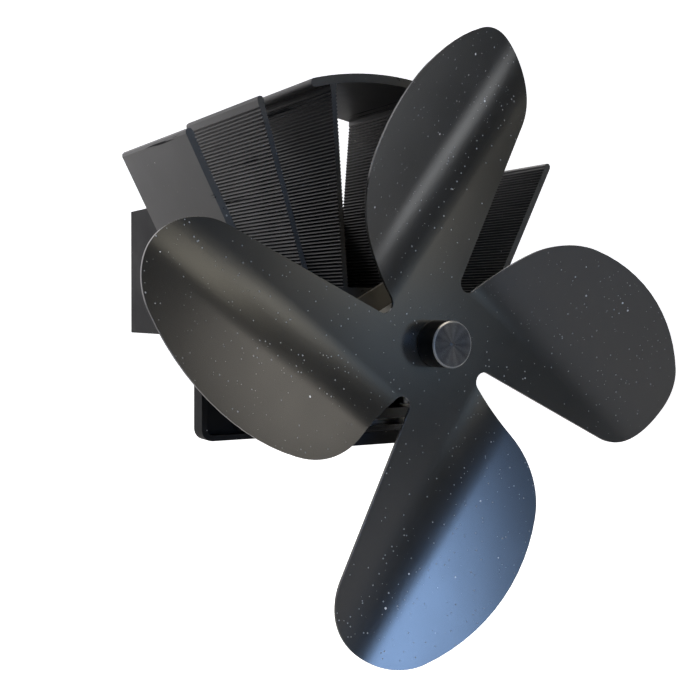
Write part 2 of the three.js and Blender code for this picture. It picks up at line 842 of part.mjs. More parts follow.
function frameSpacer(side) {
  const inner = screwRadius + screwFit;
  const ring = turned([
    [inner, frameTopZ + stackGap],
    [inner, sinkBottomZ - stackGap],
    [bushFlangeRadius, sinkBottomZ - stackGap],
    [bushFlangeRadius, frameTopZ + stackGap],
  ], smallRound);
  return ring.rotateX(Math.PI / 2).translate(side * clampOffset, clampYs.front, 0);
}

// Hot plate: a level limb under the module, and an upright limb that carries the saddle and has a
// raised rim round its front

function hotPlate() {
  const level = block(
    [-hotPlateHalfWidth, hotPlateHalfWidth],
    [sinkFrontY, limbRearY],
    [hotBottomZ, hotTopZ],
  );
  const bottomZ = hotBottomZ - limbDrop;
  const middleZ = (limbTopZ + bottomZ) / 2;
  const halfHeight = limbTopZ - middleZ;
  const face = roundedRectangle(limbHalfWidth, halfHeight, limbCorner);
  const limb = extrudeAlongY(face, [limbFrontY - rimDepth, limbRearY]).translate(0, 0, middleZ);
  const inside = roundedRectangle(
    limbHalfWidth - rimWidth,
    halfHeight - rimWidth,
    limbCorner - rimWidth,
  );
  const recess = extrudeAlongY(inside, [limbFrontY - rimDepth - overrun, limbFrontY]);
  recess.translate(0, 0, middleZ);
  const holes = [];
  for (const side of [-1, 1]) {
    for (const y of Object.values(clampYs)) {
      const z = [hotBottomZ - overrun, hotTopZ + overrun];
      holes.push(rodAlongZ(screwRadius + screwFit, z, side * clampOffset, y));
    }
    for (const z of saddleScrewZs) {
      const y = [limbFrontY - overrun, limbRearY + overrun];
      holes.push(rodAlongY(screwRadius + screwFit, y, side * saddleScrewX, z));
    }
  }
  return cut(join(level, cut(limb, recess)), ...holes);
}

// Saddle

const saddleScrewZs = [saddleMidZ - saddleScrewSpacing / 2, saddleMidZ + saddleScrewSpacing / 2];

// Seen from above: a bar whose rear is a shallow V, so that a pipe touches both wings
function saddleOutline() {
  const wingEnd = saddleHalfWidth - tipFlat;
  const tipY = valleyY + wingEnd * Math.tan(wingTurn);
  const shape = new THREE.Shape();
  shape.moveTo(-saddleHalfWidth, saddleFrontY);
  shape.lineTo(saddleHalfWidth, saddleFrontY);
  shape.lineTo(saddleHalfWidth, tipY);
  shape.lineTo(wingEnd, tipY);
  shape.lineTo(0, valleyY);
  shape.lineTo(-wingEnd, tipY);
  shape.lineTo(-saddleHalfWidth, tipY);
  return shape;
}

// The hollow behind one wing, open above and below
function saddleCell(side) {
  const frontY = saddleFrontY + saddleWall;
  const cellEnd = saddleHalfWidth - saddleSideWall;
  const wing = wingThickness / Math.cos(wingTurn);
  const rearY = (x) => valleyY + x * Math.tan(wingTurn) - wing;
  const cell = new THREE.Shape();
  cell.moveTo(side * saddleWebHalf, frontY);
  cell.lineTo(side * cellEnd, frontY);
  cell.lineTo(side * cellEnd, rearY(cellEnd));
  cell.lineTo(side * saddleWebHalf, rearY(saddleWebHalf));
  const z = [saddleBottomZ - overrun, saddleBottomZ + saddleHeight + overrun];
  return extrudeAlongZ(cell, z);
}

// A disc let into the face of a wing where the pipe touches it
function discInWing(side, z, radius, thickness, proud) {
  const disc = new THREE.CylinderGeometry(radius, radius, thickness + proud, mediumRound);
  disc.translate(0, (proud - thickness) / 2, 0).rotateZ(side * wingTurn);
  const x = side * seatAlongWing * Math.cos(wingTurn);
  return disc.translate(x, valleyY + seatAlongWing * Math.sin(wingTurn), z);
}

const holderZs = { lower: saddleMidZ - holderSpacing / 2, upper: saddleMidZ + holderSpacing / 2 };

function saddle() {
  const body = extrudeAlongZ(saddleOutline(), [saddleBottomZ, saddleBottomZ + saddleHeight]);
  const cuts = [saddleCell(-1), saddleCell(1)];
  for (const side of [-1, 1]) {
    for (const z of Object.values(holderZs)) {
      const radius = holderRadius + turnedGap;
      cuts.push(discInWing(side, z, radius, holderThickness + turnedGap, overrun));
    }
    for (const z of saddleScrewZs) {
      const y = [saddleFrontY - overrun, saddleFrontY + saddleWall + overrun];
      cuts.push(rodAlongY(screwRadius + screwFit, y, side * saddleScrewX, z));
    }
  }
  return cut(body, ...cuts);
}

function saddleScrew(side, z) {
  const length = limbThickness + saddleWall + seatGap;
  return screwIntoFront(side * saddleScrewX, z, limbFrontY - seatGap, length);
}

// Assembly. The group's origin is the middle of the saddle's valley, where it faces the pipe.

const group = new THREE.Group();
const aboutShaft = new THREE.Group();
aboutShaft.position.set(0, -valleyY, -saddleMidZ);
group.add(aboutShaft);

const wheelGroup = new THREE.Group();
const motorGroup = new THREE.Group();
const coldGroup = new THREE.Group();
const hotGroup = new THREE.Group();
aboutShaft.add(wheelGroup, motorGroup, coldGroup, hotGroup);

function place(parent, name, geometry, material) {
  const mesh = new THREE.Mesh(geometry, material);
  mesh.name = name;
  parent.add(mesh);
}

place(wheelGroup, "fan_wheel", fanWheel(), blackPaint);
place(wheelGroup, "hub_knob", hubKnob(), blackAnodised);
place(wheelGroup, "hub_collar", hubCollar(), blackAnodised);
place(wheelGroup, "hub_grub_screw", hubGrubScrew(), darkSteel);
place(wheelGroup, "motor_shaft", motorShaft(), brightSteel);
place(wheelGroup, "armature", armature(), zincSteel);
place(wheelGroup, "commutator", commutator(), copper);
for (let pole = 0; pole < poleCount; pole += 1) {
  place(wheelGroup, `winding_${pole + 1}`, winding(pole), copper);
}

place(motorGroup, "motor_can", motorCan(), zincSteel);
place(motorGroup, "front_bush", bush([sinkFrontY - bossHeight, canFloorY]), bronze);
place(motorGroup, "rear_bush", bush([capFrontY, capRearY]), bronze);
place(motorGroup, "field_magnet_left", fieldMagnet(180), magnetGrey);
place(motorGroup, "field_magnet_right", fieldMagnet(0), magnetGrey);
place(motorGroup, "end_cap", endCap(), nylon);
place(motorGroup, "brush_upper", brush(1), copper);
place(motorGroup, "brush_lower", brush(-1), copper);
place(motorGroup, "terminal_left", terminal(-1), brightSteel);
place(motorGroup, "terminal_right", terminal(1), brightSteel);
place(motorGroup, "motor_bracket", motorBracket(), bracketBrown);
place(motorGroup, "bracket_screw_left", bracketScrew(-1), zincSteel);
place(motorGroup, "bracket_screw_right", bracketScrew(1), zincSteel);

place(coldGroup, "heat_sink", heatSink(), sinkBlack);
for (const [name, layer, material] of moduleLayers()) place(coldGroup, name, layer, material);
place(coldGroup, "red_lead", lead(1), redWire);
place(coldGroup, "black_lead", lead(-1), blackWire);

place(hotGroup, "hot_plate", hotPlate(), castBlack);
place(hotGroup, "saddle", saddle(), castBlack);
place(hotGroup, "lower_frame", lowerFrame(), sinkBlack);
for (const [hand, side] of Object.entries({ left: -1, right: 1 })) {
  place(hotGroup, `frame_spacer_${hand}`, frameSpacer(side), nylon);
  for (const [end, y] of Object.entries(clampYs)) {
    place(hotGroup, `clamp_screw_${end}_${hand}`, clampScrew(side, y), zincSteel);
    place(hotGroup, `clamp_bush_${end}_${hand}`, clampBush(side, y), nylon);
  }
  for (const [level, z] of Object.entries(holderZs)) {
    const disc = discInWing(side, z, holderRadius, holderThickness, 0);
    place(hotGroup, `magnet_${level}_${hand}`, disc, nickel);
  }
  saddleScrewZs.forEach((z, i) => {
    place(hotGroup, `saddle_screw_${i ? "upper" : "lower"}_${hand}`, saddleScrew(side, z), zincSteel);
  });
}

export default group;
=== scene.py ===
import json
import math

import bmesh
import bpy
from mathutils import Matrix, Quaternion, Vector


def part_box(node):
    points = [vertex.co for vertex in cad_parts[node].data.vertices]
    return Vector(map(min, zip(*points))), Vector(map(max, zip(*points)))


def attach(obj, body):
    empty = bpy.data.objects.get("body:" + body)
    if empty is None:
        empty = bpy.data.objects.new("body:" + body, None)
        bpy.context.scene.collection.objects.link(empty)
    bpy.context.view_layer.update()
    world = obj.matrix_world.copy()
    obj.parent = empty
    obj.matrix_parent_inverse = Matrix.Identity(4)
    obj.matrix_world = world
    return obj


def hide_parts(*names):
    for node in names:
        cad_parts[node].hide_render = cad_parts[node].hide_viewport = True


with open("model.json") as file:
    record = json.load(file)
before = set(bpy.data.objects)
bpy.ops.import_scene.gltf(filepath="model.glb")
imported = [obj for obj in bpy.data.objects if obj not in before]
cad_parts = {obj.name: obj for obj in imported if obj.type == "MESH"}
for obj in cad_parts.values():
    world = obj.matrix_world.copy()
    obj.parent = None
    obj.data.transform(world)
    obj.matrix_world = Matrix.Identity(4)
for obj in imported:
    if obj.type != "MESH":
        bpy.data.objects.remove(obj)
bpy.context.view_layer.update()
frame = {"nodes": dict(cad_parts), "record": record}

print("frame loaded")


# Small helpers for working in edit mode

tools = {
    "weld": 0.000002,        # corners of a piece that are nearer than this become one
    "sketchWeld": 0.000005,  # the same for a drawn outline
    "flatAngle": 0.4,        # degrees between faces that count as one flat face
    "bevelSegments": 2,
    "pointSize": 0.001,      # the plane that is merged to a point
}


def clearSelection():
    if bpy.context.object and bpy.context.object.mode != "OBJECT":
        bpy.ops.object.mode_set(mode="OBJECT")
    bpy.ops.object.select_all(action="DESELECT")


def pick(piece):
    clearSelection()
    bpy.context.view_layer.objects.active = piece
    piece.select_set(True)


def editOnly(piece):
    pick(piece)
    bpy.ops.object.mode_set(mode="EDIT")


def selectAll():
    bpy.ops.mesh.select_all(action="SELECT")


def joinCorners(distance):
    selectAll()
    bpy.ops.mesh.remove_doubles(threshold=distance)


def faceOutwards():
    selectAll()
    bpy.ops.mesh.normals_make_consistent(inside=False)


def boxOf(node):
    low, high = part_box(node)
    return Vector(low), Vector(high)


def middleOf(node):
    low, high = boxOf(node)
    return (low + high) / 2


def halfWidthOf(node):
    low, high = boxOf(node)
    return (high.x - low.x) / 2


def applyAll(piece):
    pick(piece)
    for modifier in list(piece.modifiers):
        bpy.ops.object.modifier_apply(modifier=modifier.name)
    bpy.ops.object.transform_apply(location=True, rotation=True, scale=True)


def addBevel(piece, width, angle):
    bevel = piece.modifiers.new("edgeBevel", "BEVEL")
    bevel.width = width
    bevel.segments = tools["bevelSegments"]
    bevel.limit_method = "ANGLE"
    bevel.angle_limit = math.radians(angle)
    bevel.harden_normals = True
    bevel.use_clamp_overlap = True


def smoothSides(piece, angle):
    pick(piece)
    bpy.ops.object.shade_smooth_by_angle(angle=math.radians(angle))


def settle(piece, body, slot, material, *nodes):
    # the piece moves with its body, wears its finish and stands for the CAD nodes
    piece.data.materials.clear()
    piece.data.materials.append(material)
    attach(piece, body)
    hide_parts(*nodes)


def singlePoint(name, place):
    # a plane merged to its middle leaves the one vertex that an outline is drawn from
    clearSelection()
    bpy.ops.mesh.primitive_plane_add(size=tools["pointSize"], location=(0, 0, 0))
    piece = bpy.context.object
    piece.name = name
    bpy.ops.object.mode_set(mode="EDIT")
    bpy.ops.mesh.select_mode(type="VERT")
    selectAll()
    bpy.ops.mesh.merge(type="CENTER")
    bpy.ops.transform.translate(value=place)
    return piece


def lineBy(step):
    bpy.ops.mesh.extrude_region_move(TRANSFORM_OT_translate={"value": tuple(step)})


def turnedPiece(name, profile, axisX, axisZ, steps):
    # profile holds (radius, y) pairs and is spun once round an axis along Y
    firstRadius, firstY = profile[0]
    piece = singlePoint(name, (axisX + firstRadius, firstY, axisZ))
    for (radius, y), (nextRadius, nextY) in zip(profile, profile[1:]):
        lineBy((nextRadius - radius, nextY - y, 0))
    selectAll()
    bpy.ops.mesh.spin(steps=steps, angle=2 * math.pi, center=(axisX, 0, axisZ), axis=(0, 1, 0))
    joinCorners(tools["weld"])
    faceOutwards()
    bpy.ops.object.mode_set(mode="OBJECT")
    return piece


def mergedCopy(node, name):
    # a copy of a CAD node arrives as loose triangles, so its corners are joined first
    source = frame["nodes"][node]
    piece = bpy.data.objects.new(name, source.data.copy())
    bpy.context.collection.objects.link(piece)
    editOnly(piece)
    bpy.ops.mesh.select_mode(type="VERT")
    joinCorners(tools["weld"])
    bpy.ops.mesh.dissolve_limited(angle_limit=math.radians(tools["flatAngle"]))
    bpy.ops.object.mode_set(mode="OBJECT")
    return piece


# Camera, at the photograph's angle

camera = {
    "place": Vector((-0.1727, -0.3520, -0.01335)),
    "turn": 30.85,  # degrees round from straight ahead
    "dip": 2.06,    # degrees below level
    "roll": 0.31,
    "lens": 54.48,
    "nearest": 0.01,
}


def addCamera():
    turn, dip, roll = (math.radians(camera[key]) for key in ("turn", "dip", "roll"))
    ahead = Vector((math.sin(turn) * math.cos(dip), math.cos(turn) * math.cos(dip), -math.sin(dip)))
    right = Vector((math.cos(turn), -math.sin(turn), 0))
    up = right.cross(ahead)
    tilted = right * math.cos(roll) + up * math.sin(roll)
    raised = up * math.cos(roll) - right * math.sin(roll)
    data = bpy.data.cameras.new("photoCamera")
    data.lens = camera["lens"]
    data.clip_start = camera["nearest"]
    eye = bpy.data.objects.new("photoCamera", data)
    bpy.context.collection.objects.link(eye)
    axes = Matrix((tilted, raised, -ahead)).transposed().to_4x4()
    eye.matrix_world = Matrix.Translation(camera["place"]) @ axes
    bpy.context.scene.camera = eye


addCamera()
print("camera placed")


# Shader groups that several finishes share

def newGroup(name, inputs, outputs):
    group = bpy.data.node_groups.new(name, "ShaderNodeTree")
    for label, kind, value in inputs:
        socket = group.interface.new_socket(name=label, in_out="INPUT", socket_type=kind)
        if value is not None:
            socket.default_value = value
    for label, kind in outputs:
        group.interface.new_socket(name=label, in_out="OUTPUT", socket_type=kind)
    start = group.nodes.new("NodeGroupInput")
    end = group.nodes.new("NodeGroupOutput")
    return group, start, end


def feed(tree, value, socket):
    # a number or a colour is typed into the socket, an output is linked to it
    if isinstance(value, tuple):
        socket.default_value = (*value, 1.0)
    elif isinstance(value, (int, float)):
        socket.default_value = value
    else:
        tree.links.new(value, socket)


def addMath(tree, operation, first, second=None, third=None, clamp=False):
    node = tree.nodes.new("ShaderNodeMath")
    node.operation = operation
    node.use_clamp = clamp
    for socket, value in zip(node.inputs, (first, second, third)):
        if value is not None:
            feed(tree, value, socket)
    return node.outputs[0]


def addNoise(tree, vector, scale, detail=2.0, roughness=0.5):
    node = tree.nodes.new("ShaderNodeTexNoise")
    node.inputs["Detail"].default_value = detail
    node.inputs["Roughness"].default_value = roughness
    tree.links.new(vector, node.inputs["Vector"])
    feed(tree, scale, node.inputs["Scale"])
    return node.outputs["Fac"]


def addRange(tree, value, fromLow, fromHigh, toLow=0.0, toHigh=1.0):
    node = tree.nodes.new("ShaderNodeMapRange")
    for socket, number in zip(node.inputs[1:5], (fromLow, fromHigh, toLow, toHigh)):
        feed(tree, number, socket)
    tree.links.new(value, node.inputs[0])
    return node.outputs[0]


dustPatches = {"scale": 28.0, "low": 0.38, "high": 0.62, "least": 0.15}


def makeSpecks():
    # pale settled dust: a small dot in some of the cells, thicker in patches
    group, start, end = newGroup(
        "dustSpecks",
        [("Vector", "NodeSocketVector", None), ("Scale", "NodeSocketFloat", 400.0),
         ("Amount", "NodeSocketFloat", 0.3), ("Size", "NodeSocketFloat", 0.08)],
        [("Mask", "NodeSocketFloat")],
    )
    cells = group.nodes.new("ShaderNodeTexVoronoi")
    group.links.new(start.outputs["Vector"], cells.inputs["Vector"])
    group.links.new(start.outputs["Scale"], cells.inputs["Scale"])
    split = group.nodes.new("ShaderNodeSeparateColor")
    group.links.new(cells.outputs["Color"], split.inputs[0])
    chosen = addMath(group, "LESS_THAN", split.outputs[0], start.outputs["Amount"])
    radius = addMath(group, "MULTIPLY", start.outputs["Size"], split.outputs[1])
    dot = addMath(group, "LESS_THAN", cells.outputs["Distance"], radius)
    cloud = addNoise(group, start.outputs["Vector"], dustPatches["scale"])
    patches = addRange(group, cloud, dustPatches["low"], dustPatches["high"], dustPatches["least"])
    both = addMath(group, "MULTIPLY", chosen, dot)
    group.links.new(addMath(group, "MULTIPLY", both, patches), end.inputs["Mask"])
    return group


handledPatches = {"scale": 60.0, "low": 0.35, "high": 0.65}


def makeCoat():
    # the faint orange peel of sprayed or baked paint, with patches of handling
    group, start, end = newGroup(
        "coatTexture",
        [("Vector", "NodeSocketVector", None), ("Grain", "NodeSocketFloat", 900.0)],
        [("Height", "NodeSocketFloat"), ("Handling", "NodeSocketFloat")],
    )
    vector = start.outputs["Vector"]
    fine = addNoise(group, vector, start.outputs["Grain"], detail=3.0, roughness=0.6)
    broad = addNoise(group, vector, handledPatches["scale"], detail=4.0, roughness=0.6)
    patches = addRange(group, broad, handledPatches["low"], handledPatches["high"])
    group.links.new(fine, end.inputs["Height"])
    group.links.new(patches, end.inputs["Handling"])
    return group


scratchEdge = 0.02  # how far the noise rises from the start of a scratch to its full strength


def makeLines():
    # drawn or rubbed lines, stretched along one axis by the vector that comes in
    group, start, end = newGroup(
        "drawnLines",
        [("Vector", "NodeSocketVector", None), ("Sparse", "NodeSocketFloat", 0.62)],
        [("Height", "NodeSocketFloat"), ("Scratches", "NodeSocketFloat")],
    )
    sparse = start.outputs["Sparse"]
    drawn = addNoise(group, start.outputs["Vector"], 1.0, detail=5.0, roughness=0.65)
    scratches = addRange(group, drawn, sparse, addMath(group, "ADD", sparse, scratchEdge))
    group.links.new(drawn, end.inputs["Height"])
    group.links.new(scratches, end.inputs["Scratches"])
    return group


ringNoiseAndFanLight = {"unevenScale": 700.0, "wideFans": 2.0, "fineFans": 11.0, "fanShift": 0.9}


def makeRings():
    # tool marks round the shaft, which runs along Y, and the fans of light that they throw, painted
    # into the colour as painted reflection
    group, start, end = newGroup(
        "turnedRings",
        [("Vector", "NodeSocketVector", None), ("Pitch", "NodeSocketFloat", 0.0002)],
        [("Height", "NodeSocketFloat"), ("Radius", "NodeSocketFloat"), ("PaintedFans", "NodeSocketFloat")],
    )
    split = group.nodes.new("ShaderNodeSeparateXYZ")
    group.links.new(start.outputs["Vector"], split.inputs[0])
    squares = [addMath(group, "POWER", split.outputs[axis], 2.0) for axis in (0, 2)]
    radius = addMath(group, "SQRT", addMath(group, "ADD", *squares))
    phase = addMath(group, "DIVIDE", radius, start.outputs["Pitch"])
    wave = addMath(group, "SINE", addMath(group, "MULTIPLY", phase, 2 * math.pi))
    uneven = addNoise(group, start.outputs["Vector"], ringNoiseAndFanLight["unevenScale"])
    group.links.new(addMath(group, "MULTIPLY", wave, uneven), end.inputs["Height"])
    group.links.new(radius, end.inputs["Radius"])
    # painted reflection: the fans of light are drawn from the angle round the shaft
    angle = addMath(group, "ARCTAN2", split.outputs[0], split.outputs[2])
    wideTurn = addMath(group, "MULTIPLY_ADD", angle, ringNoiseAndFanLight["wideFans"], ringNoiseAndFanLight["fanShift"])
    wide = addMath(group, "SINE", wideTurn)
    fine = addMath(group, "SINE", addMath(group, "MULTIPLY_ADD", angle, ringNoiseAndFanLight["fineFans"], wide))
    fans = addRange(group, addMath(group, "ADD", wide, fine), -2.0, 2.0)  # two sines together
    group.links.new(fans, end.inputs["PaintedFans"])
    return group


groups = {"specks": makeSpecks(), "coat": makeCoat(), "lines": makeLines(), "rings": makeRings()}
print("shader groups made")


# Materials

def addGroup(tree, key, vector, **values):
    node = tree.nodes.new("ShaderNodeGroup")
    node.node_tree = groups[key]
    tree.links.new(vector, node.inputs["Vector"])
    for name, value in values.items():
        node.inputs[name].default_value = value
    return node


def mixColours(tree, amount, first, second):
    node = tree.nodes.new("ShaderNodeMix")
    node.data_type = "RGBA"
    tree.links.new(amount, node.inputs["Factor"])
    feed(tree, first, node.inputs["A"])
    feed(tree, second, node.inputs["B"])
    return node.outputs["Result"]


def startMaterial(name, metallic, roughness):
    material = bpy.data.materials.new(name)
    material.use_nodes = True
    tree = material.node_tree
    shader = tree.nodes["Principled BSDF"]
    shader.inputs["Metallic"].default_value = metallic
    shader.inputs["Roughness"].default_value = roughness
    place = tree.nodes.new("ShaderNodeTexCoord").outputs["Object"]
    return material, tree, shader, place


def stretched(tree, place, scale, location=(0, 0, 0)):
    node = tree.nodes.new("ShaderNodeMapping")
    node.inputs["Location"].default_value = location
    node.inputs["Scale"].default_value = scale
    tree.links.new(place, node.inputs["Vector"])
    return node.outputs[0]


def addBump(tree, shader, height, strength, distance):
    bump = tree.nodes.new("ShaderNodeBump")
    bump.inputs["Strength"].default_value = strength
    bump.inputs["Distance"].default_value = distance
    tree.links.new(height, bump.inputs["Height"])
    tree.links.new(bump.outputs[0], shader.inputs["Normal"])


painting = {
    "bumpDepth": 0.00005,
    "sparse": 0.64,
    "scratchRoughness": 0.5,  # added where a scratch runs
    "dustRoughness": 0.4,     # added where dust lies
    "flecks": dict(Scale=400.0, Amount=0.13, Size=0.13),
    "fleckColour": (0.5, 0.49, 0.46),
}


def paintFinish(name, look):
    # painted or anodised black: coat grain, handling, settled dust and a few larger flecks
    material, tree, shader, place = startMaterial(name, look["metallic"], look["roughness"])
    coat = addGroup(tree, "coat", place, Grain=look["grain"])
    handling = coat.outputs["Handling"]
    specks = addGroup(tree, "specks", place, Scale=look["speckScale"], Amount=look["speckAmount"],
                      Size=look["speckSize"]).outputs["Mask"]
    flecks = addGroup(tree, "specks", place, **painting["flecks"]).outputs["Mask"]
    shade = mixColours(tree, handling, look["dark"], look["light"])
    rough = addRange(tree, handling, 0.0, 1.0, look["roughness"] - look["wear"],
                     look["roughness"] + look["wear"])
    if "scratch" in look:
        along = stretched(tree, place, look["scratch"])
        scratches = addGroup(tree, "lines", along, Sparse=painting["sparse"]).outputs["Scratches"]
        shade = mixColours(tree, scratches, shade, look["deep"])
        rough = addMath(tree, "MULTIPLY_ADD", scratches, painting["scratchRoughness"], rough)
    dusted = mixColours(tree, specks, shade, look["dust"])
    flecked = mixColours(tree, flecks, dusted, painting["fleckColour"])
    tree.links.new(flecked, shader.inputs["Base Color"])
    dusty = addMath(tree, "MULTIPLY_ADD", specks, painting["dustRoughness"], rough, clamp=True)
    tree.links.new(dusty, shader.inputs["Roughness"])
    addBump(tree, shader, coat.outputs["Height"], look["bump"], painting["bumpDepth"])
    shader.inputs["Specular IOR Level"].default_value = look["specular"]
    return material


drawing = {
    "bump": 0.25,
    "bumpDepth": 0.00004,
    "sparse": 0.63,
    "grain": 1500.0,
    "lineRange": (0.3, 0.7),
    "smoother": 0.08,  # roughness taken off in the low lines
    "rougher": 0.1,    # roughness added on the high ones
}


def metalFinish(name, look):
    # bare or plated metal with drawn lines
    material, tree, shader, place = startMaterial(name, 1.0, look["roughness"])
    lines = addGroup(tree, "lines", stretched(tree, place, look["stretch"]), Sparse=drawing["sparse"])
    coat = addGroup(tree, "coat", place, Grain=drawing["grain"])
    shade = mixColours(tree, coat.outputs["Handling"], look["dark"], look["light"])
    scratched = mixColours(tree, lines.outputs["Scratches"], shade, look["dark"])
    tree.links.new(scratched, shader.inputs["Base Color"])
    rough = addRange(tree, lines.outputs["Height"], *drawing["lineRange"],
                     look["roughness"] - drawing["smoother"], look["roughness"] + drawing["rougher"])
    tree.links.new(rough, shader.inputs["Roughness"])
    addBump(tree, shader, lines.outputs["Height"], drawing["bump"], drawing["bumpDepth"])
    return material


moulding = {"bumpDepth": 0.00008, "grainRange": (0.3, 0.7), "swing": 0.06}


def softFinish(name, look):
    # plastics, ceramic, pads and wire covers
    material, tree, shader, place = startMaterial(name, 0.0, look["roughness"])
    coat = addGroup(tree, "coat", place, Grain=look["grain"])
    shade = mixColours(tree, coat.outputs["Handling"], look["dark"], look["light"])
    tree.links.new(shade, shader.inputs["Base Color"])
    rough = addRange(tree, coat.outputs["Height"], *moulding["grainRange"],
                     look["roughness"] - moulding["swing"], look["roughness"] + moulding["swing"])
    tree.links.new(rough, shader.inputs["Roughness"])
    addBump(tree, shader, coat.outputs["Height"], look["bump"], moulding["bumpDepth"])
    return material


shaftMiddle = middleOf("motor_shaft")
shaftX, shaftZ = shaftMiddle.x, shaftMiddle.z

turning = {
    "bump": 0.5,
    "bumpDepth": 0.00003,
    "ringRange": (-0.6, 0.6),
    "swing": 0.05,
    "sideSkin": 0.00004,  # this near to the full radius counts as the side
    "specks": dict(Scale=500.0, Amount=0.12, Size=0.09),
    "speckColour": (0.3, 0.3, 0.3),
}


def turnedFinish(name, look):
    # black anodised metal with the marks of the lathe; its face is painted lighter than its sides as
    # painted shade, with painted fans of reflected light
    material, tree, shader, place = startMaterial(name, look["metallic"], look["roughness"])
    centred = stretched(tree, place, (1, 1, 1), (-shaftX, 0, -shaftZ))
    rings = addGroup(tree, "rings", centred, Pitch=look["pitch"])
    specks = addGroup(tree, "specks", place, **turning["specks"]).outputs["Mask"]
    reach = rings.outputs["Radius"]
    face = addMath(tree, "LESS_THAN", reach, look["radius"] - turning["sideSkin"])
    outer = addMath(tree, "GREATER_THAN", reach, look["radius"] - look["rim"])
    chamfer = addMath(tree, "MULTIPLY", face, outer)
    # painted reflection: the face's tone swings between dark and light with the fans of light
    shade = mixColours(tree, rings.outputs["PaintedFans"], look["dark"], look["light"])
    # painted shade: the sides take the near-black side colour, the face keeps its lighter tone
    shade = mixColours(tree, face, look["side"], shade)
    # painted highlight: a bright ring on the chamfer, partly the bare cut metal and partly painted
    # light
    shade = mixColours(tree, chamfer, shade, look["bright"])
    dusted = mixColours(tree, specks, shade, turning["speckColour"])
    tree.links.new(dusted, shader.inputs["Base Color"])
    rough = addRange(tree, rings.outputs["Height"], *turning["ringRange"],
                     look["roughness"] - turning["swing"], look["roughness"] + turning["swing"])
    tree.links.new(rough, shader.inputs["Roughness"])
    addBump(tree, shader, rings.outputs["Height"], turning["bump"], turning["bumpDepth"])
    return material


paints = {
    "black_paint": dict(
        metallic=0.0, roughness=0.22, wear=0.01, grain=1100.0, bump=0.06, specular=0.62,
        dark=(0.007, 0.0068, 0.006), light=(0.0085, 0.0082, 0.0073),
        dust=(0.19, 0.19, 0.18), speckScale=900.0, speckAmount=0.55, speckSize=0.22),
    "sink_black": dict(
        metallic=0.3, roughness=0.38, wear=0.03, grain=1500.0, bump=0.15, specular=0.5,
        scratch=(420, 9, 420), deep=(0.004, 0.004, 0.004),
        dark=(0.018, 0.0178, 0.017), light=(0.027, 0.0265, 0.025),
        dust=(0.2, 0.19, 0.18), speckScale=900.0, speckAmount=0.2, speckSize=0.16),
    "cast_black": dict(
        metallic=0.0, roughness=0.58, wear=0.04, grain=700.0, bump=0.3, specular=0.16,
        dark=(0.0055, 0.006, 0.0068), light=(0.0085, 0.009, 0.01),
        dust=(0.16, 0.155, 0.15), speckScale=450.0, speckAmount=0.2, speckSize=0.12),
    "bar_black": dict(
        metallic=0.85, roughness=0.26, wear=0.03, grain=1500.0, bump=0.1, specular=0.5,
        dark=(0.05, 0.05, 0.05), light=(0.075, 0.075, 0.074),
        dust=(0.2, 0.19, 0.18), speckScale=900.0, speckAmount=0.2, speckSize=0.14),
    # painted reflection: the brown tone stands for the warm surroundings reflected in the bracket's
    # black paint; the dust is real
    "bracket_brown": dict(
        metallic=0.3, roughness=0.5, wear=0.04, grain=1300.0, bump=0.2, specular=0.5,
        dark=(0.04, 0.036, 0.029), light=(0.06, 0.055, 0.045),
        dust=(0.4, 0.38, 0.33), speckScale=450.0, speckAmount=0.25, speckSize=0.1),
}
metals = {
    "bright_steel": dict(roughness=0.26, stretch=(4000, 200, 4000), dark=(0.45, 0.46, 0.47),
                         light=(0.62, 0.63, 0.64)),
    "dark_steel": dict(roughness=0.38, stretch=(1500, 1500, 1500), dark=(0.03, 0.03, 0.032),
                       light=(0.06, 0.06, 0.062)),
    "zinc_steel": dict(roughness=0.36, stretch=(900, 900, 900), dark=(0.4, 0.4, 0.41),
                       light=(0.56, 0.56, 0.57)),
    "bronze": dict(roughness=0.42, stretch=(2000, 2000, 2000), dark=(0.34, 0.19, 0.08),
                   light=(0.46, 0.28, 0.13)),
    "copper": dict(roughness=0.32, stretch=(3000, 3000, 3000), dark=(0.46, 0.18, 0.08),
                   light=(0.62, 0.28, 0.14)),
    "nickel": dict(roughness=0.18, stretch=(700, 700, 700), dark=(0.6, 0.6, 0.58),
                   light=(0.72, 0.72, 0.7)),
}
softs = {
    "magnet_grey": dict(roughness=0.62, grain=2500.0, bump=0.3, dark=(0.07, 0.07, 0.072),
                        light=(0.11, 0.11, 0.112)),
    "white_ceramic": dict(roughness=0.6, grain=1800.0, bump=0.15, dark=(0.72, 0.7, 0.66),
                          light=(0.83, 0.82, 0.79)),
    "pad_grey": dict(roughness=0.85, grain=1200.0, bump=0.4, dark=(0.11, 0.11, 0.115),
                     light=(0.17, 0.17, 0.175)),
    "bismuth_grey": dict(roughness=0.5, grain=900.0, bump=0.5, dark=(0.2, 0.21, 0.23),
                         light=(0.38, 0.39, 0.41)),
    "nylon": dict(roughness=0.52, grain=900.0, bump=0.12, dark=(0.66, 0.64, 0.57),
                  light=(0.76, 0.74, 0.68)),
    "red_wire": dict(roughness=0.46, grain=1500.0, bump=0.2, dark=(0.36, 0.02, 0.015),
                     light=(0.5, 0.04, 0.03)),
    "black_wire": dict(roughness=0.46, grain=1500.0, bump=0.2, dark=(0.012, 0.012, 0.012),
                       light=(0.024, 0.024, 0.024)),
}
